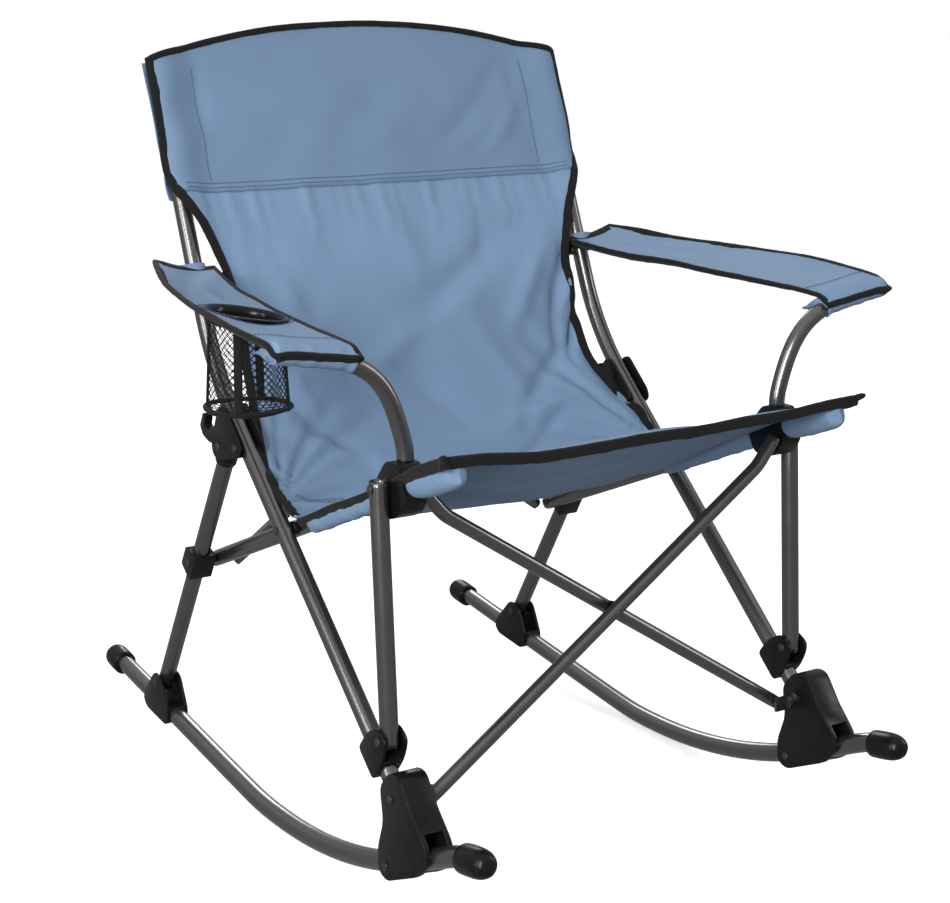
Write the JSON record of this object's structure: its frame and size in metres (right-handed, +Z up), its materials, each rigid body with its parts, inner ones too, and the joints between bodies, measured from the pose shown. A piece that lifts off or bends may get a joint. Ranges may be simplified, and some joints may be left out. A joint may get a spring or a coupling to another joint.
{
  "type": "folding rocking chair",
  "caption": "Folding camp rocking chair: tube frame on two curved runners, with a fabric sling, cloth arms and a net cup holder.",
  "frame": {"origin": "on the floor, under the middle of the chair's bounding box", "axes": "+Z up, +X to the sitter's left, the sitter faces -Y"},
  "size_m": [0.884, 1.0159, 0.995],
  "materials": {
    "frame_paint": "satin metallic powder coat",
    "black_plastic": "satin moulded",
    "gloss_ring": "gloss",
    "sling_fabric": "matte woven polyester",
    "cup_mesh": "open net"
  },
  "bodies": {
    "right_frame": {"right_back_post": "frame_paint", "right_top_bracket": "black_plastic", "right_foot_bracket": "black_plastic", "right_arm_panel": "sling_fabric", "sling_back": "sling_fabric", "cup_ring": "gloss_ring", "cup_net": "cup_mesh"},
    "left_frame": {"left_back_post": "frame_paint", "left_top_bracket": "black_plastic", "left_foot_bracket": "black_plastic", "left_arm_panel": "sling_fabric"},
    "right_seat_rail": {"right_seat_rail": "frame_paint", "right_rail_front_cap": "black_plastic", "right_front_bracket": "black_plastic", "right_arm_post": "frame_paint", "right_seat_pivot_washer": "black_plastic", "sling_seat": "sling_fabric"},
    "right_strut": {"right_strut": "frame_paint"},
    "right_strut_collar": {"right_strut_collar": "black_plastic"},
    "right_rear_leg": {"right_rear_leg": "frame_paint", "right_rear_leg_cap": "black_plastic"},
    "right_rear_collar": {"right_rear_collar": "black_plastic", "right_rear_collar_washer": "black_plastic"},
    "right_rocker": {"right_rocker": "frame_paint", "right_rocker_front_cap": "black_plastic", "right_rocker_rear_cap": "black_plastic"},
    "right_rocker_saddle": {"right_rocker_saddle": "black_plastic"},
    "right_front_strap": {"right_front_strap": "frame_paint"},
    "right_front_bar": {"right_front_cross_bar": "frame_paint", "front_cross_washer": "black_plastic"},
    "right_rear_strap": {"right_rear_strap": "frame_paint"},
    "right_rear_bar": {"right_rear_cross_bar": "frame_paint", "rear_cross_washer": "black_plastic"},
    "left_seat_rail": {"left_seat_rail": "frame_paint", "left_rail_front_cap": "black_plastic", "left_front_bracket": "black_plastic", "left_arm_post": "frame_paint", "left_seat_pivot_washer": "black_plastic"},
    "left_strut": {"left_strut": "frame_paint"},
    "left_strut_collar": {"left_strut_collar": "black_plastic"},
    "left_rear_leg": {"left_rear_leg": "frame_paint", "left_rear_leg_cap": "black_plastic"},
    "left_rear_collar": {"left_rear_collar": "black_plastic", "left_rear_collar_washer": "black_plastic"},
    "left_rocker": {"left_rocker": "frame_paint", "left_rocker_front_cap": "black_plastic", "left_rocker_rear_cap": "black_plastic"},
    "left_rocker_saddle": {"left_rocker_saddle": "black_plastic"},
    "left_front_strap": {"left_front_strap": "frame_paint"},
    "left_front_bar": {"left_front_cross_bar": "frame_paint"},
    "left_rear_strap": {"left_rear_strap": "frame_paint"},
    "left_rear_bar": {"left_rear_cross_bar": "frame_paint"}
  },
  "joints": [
    {"name": "seat_fold", "type": "hinge", "parent": "right_frame", "child": "right_seat_rail", "pos_m": [-0.271, -0.052, 0.396], "axis": [-1, 0, 0], "range_deg": [0, 35], "deforming": ["right_arm_panel", "left_arm_panel", "sling_back", "sling_seat", "cup_ring", "cup_net"]},
    {"name": "right_front_strap_tilt", "type": "hinge", "parent": "right_frame", "child": "right_front_strap", "pos_m": [-0.279, -0.325, 0.144], "axis": [-1, 0, 0], "range_deg": [0, 10.6]},
    {"name": "right_front_bar_swing", "type": "hinge", "parent": "right_front_strap", "child": "right_front_bar", "pos_m": [-0.264, -0.325, 0.144], "axis": [0, -0.9979, 0.064], "range_deg": [0, 17.97]},
    {"name": "front_scissor", "type": "hinge", "parent": "right_front_bar", "child": "left_front_bar", "pos_m": [0, -0.314, 0.3155], "axis": [0, -0.9979, 0.064], "range_deg": [-35.93, 0]},
    {"name": "left_front_strap_swing", "type": "hinge", "parent": "left_front_bar", "child": "left_front_strap", "pos_m": [0.264, -0.325, 0.144], "axis": [0, -0.9979, 0.064], "range_deg": [0, 17.97]},
    {"name": "left_frame_tilt", "type": "hinge", "parent": "left_front_strap", "child": "left_frame", "pos_m": [0.279, -0.325, 0.144], "axis": [-1, 0, 0], "range_deg": [-10.6, 0]},
    {"name": "left_seat_fold", "type": "hinge", "parent": "left_frame", "child": "left_seat_rail", "pos_m": [0.271, -0.052, 0.396], "axis": [-1, 0, 0], "range_deg": [0, 35.01]},
    {"name": "right_strut_swing", "type": "hinge", "parent": "right_seat_rail", "child": "right_strut", "pos_m": [-0.3, -0.284, 0.498], "axis": [-1, 0, 0], "range_deg": [-39.9, 0]},
    {"name": "right_strut_collar_slide", "type": "slide", "parent": "right_frame", "child": "right_strut_collar", "axis": [0, 0.7386, 0.6742], "range_m": [0, 0.1699]},
    {"name": "right_rear_leg_swing", "type": "hinge", "parent": "right_frame", "child": "right_rear_leg", "pos_m": [-0.3, 0.089, 0.474], "axis": [-1, 0, 0], "range_deg": [0, 30.12]},
    {"name": "right_rear_collar_slide", "type": "slide", "parent": "right_rear_leg", "child": "right_rear_collar", "axis": [0, 0.5145, -0.8575], "range_m": [0, 0.095]},
    {"name": "right_rocker_swing", "type": "hinge", "parent": "right_frame", "child": "right_rocker", "pos_m": [-0.3, -0.32, 0.06625], "axis": [-1, 0, 0], "range_deg": [0, 5.26]},
    {"name": "right_saddle_slide", "type": "slide", "parent": "right_rocker", "child": "right_rocker_saddle", "axis": [0, -0.9912, -0.1323], "range_m": [0, 0.2253]},
    {"name": "right_rear_strap_tilt", "type": "hinge", "parent": "right_frame", "child": "right_rear_strap", "pos_m": [-0.285, 0.176, 0.672], "axis": [-1, 0, 0], "range_deg": [0, 12.46]},
    {"name": "right_rear_bar_swing", "type": "hinge", "parent": "right_rear_strap", "child": "right_rear_bar", "pos_m": [-0.264, 0.176, 0.672], "axis": [0, 0.9985, 0.0543], "range_deg": [0, 16.51]},
    {"name": "left_strut_swing", "type": "hinge", "parent": "left_seat_rail", "child": "left_strut", "pos_m": [0.3, -0.284, 0.498], "axis": [-1, 0, 0], "range_deg": [-39.9, 0]},
    {"name": "left_strut_collar_slide", "type": "slide", "parent": "left_frame", "child": "left_strut_collar", "axis": [0, 0.7386, 0.6742], "range_m": [0, 0.1699]},
    {"name": "left_rear_leg_swing", "type": "hinge", "parent": "left_frame", "child": "left_rear_leg", "pos_m": [0.3, 0.089, 0.474], "axis": [-1, 0, 0], "range_deg": [0, 30.12]},
    {"name": "left_rear_collar_slide", "type": "slide", "parent": "left_rear_leg", "child": "left_rear_collar", "axis": [0, 0.5145, -0.8575], "range_m": [0, 0.095]},
    {"name": "left_rocker_swing", "type": "hinge", "parent": "left_frame", "child": "left_rocker", "pos_m": [0.3, -0.32, 0.06625], "axis": [-1, 0, 0], "range_deg": [0, 5.26]},
    {"name": "left_saddle_slide", "type": "slide", "parent": "left_rocker", "child": "left_rocker_saddle", "axis": [0, -0.9912, -0.1323], "range_m": [0, 0.2253]},
    {"name": "left_rear_strap_tilt", "type": "hinge", "parent": "left_frame", "child": "left_rear_strap", "pos_m": [0.285, 0.176, 0.672], "axis": [-1, 0, 0], "range_deg": [0, 12.46]},
    {"name": "left_rear_bar_swing", "type": "hinge", "parent": "left_rear_strap", "child": "left_rear_bar", "pos_m": [0.264, 0.176, 0.672], "axis": [0, -0.9985, -0.0543], "range_deg": [0, 16.51]}
  ],
  "couplings": [
    {"joint": "right_front_strap_tilt", "follows": "seat_fold", "ratio": 0.3026},
    {"joint": "right_front_bar_swing", "follows": "seat_fold", "ratio": 0.5132},
    {"joint": "front_scissor", "follows": "seat_fold", "ratio": -1.0264},
    {"joint": "left_front_strap_swing", "follows": "seat_fold", "ratio": 0.5132},
    {"joint": "left_frame_tilt", "follows": "seat_fold", "ratio": -0.3026},
    {"joint": "left_seat_fold", "follows": "seat_fold", "ratio": 1},
    {"joint": "right_strut_swing", "follows": "seat_fold", "ratio": -1.1398},
    {"joint": "right_strut_collar_slide", "follows": "seat_fold", "m_per_rad": 0.27731},
    {"joint": "right_rear_leg_swing", "follows": "seat_fold", "ratio": 0.8602},
    {"joint": "right_rear_collar_slide", "follows": "seat_fold", "m_per_rad": 0.1547},
    {"joint": "right_rocker_swing", "follows": "seat_fold", "ratio": 0.15},
    {"joint": "right_saddle_slide", "follows": "seat_fold", "m_per_rad": 0.36802},
    {"joint": "right_rear_strap_tilt", "follows": "seat_fold", "ratio": 0.3556},
    {"joint": "right_rear_bar_swing", "follows": "seat_fold", "ratio": 0.4714},
    {"joint": "left_strut_swing", "follows": "seat_fold", "ratio": -1.1398},
    {"joint": "left_strut_collar_slide", "follows": "seat_fold", "m_per_rad": 0.27731},
    {"joint": "left_rear_leg_swing", "follows": "seat_fold", "ratio": 0.8602},
    {"joint": "left_rear_collar_slide", "follows": "seat_fold", "m_per_rad": 0.1547},
    {"joint": "left_rocker_swing", "follows": "seat_fold", "ratio": 0.15},
    {"joint": "left_saddle_slide", "follows": "seat_fold", "m_per_rad": 0.36802},
    {"joint": "left_rear_strap_tilt", "follows": "seat_fold", "ratio": 0.3556},
    {"joint": "left_rear_bar_swing", "follows": "seat_fold", "ratio": 0.4714}
  ]
}
